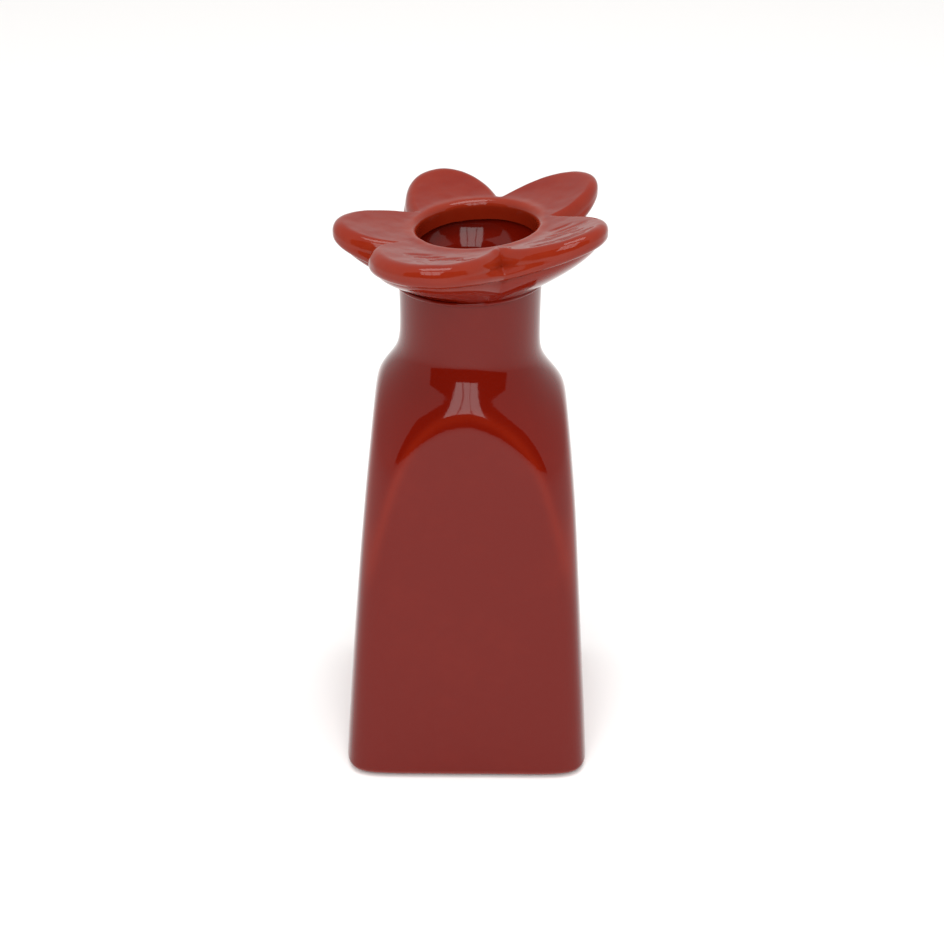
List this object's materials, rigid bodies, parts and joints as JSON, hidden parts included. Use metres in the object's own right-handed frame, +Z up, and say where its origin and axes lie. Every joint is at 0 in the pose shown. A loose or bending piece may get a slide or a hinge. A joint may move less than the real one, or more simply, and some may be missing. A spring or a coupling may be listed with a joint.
{
  "type": "bud vase",
  "caption": "Tapered square ceramic bud vase with an arched shoulder, a round flared neck and a leaning five-petal flower collar round its open mouth.",
  "frame": {"origin": "on the table, under the middle of the foot, on the axis of the body and its neck", "axes": "+Z up along the neck; +X to the right and -Y to the front, square to the body's flat sides"},
  "size_m": [0.0764, 0.0752, 0.1756],
  "materials": {
    "red_glaze": "gloss",
    "bare_clay": "matte"
  },
  "bodies": {
    "root": {"body": "red_glaze", "base": "red_glaze", "flower_collar": "red_glaze", "luting_bead": "red_glaze", "foot_ring": "bare_clay"}
  },
  "joints": []
}
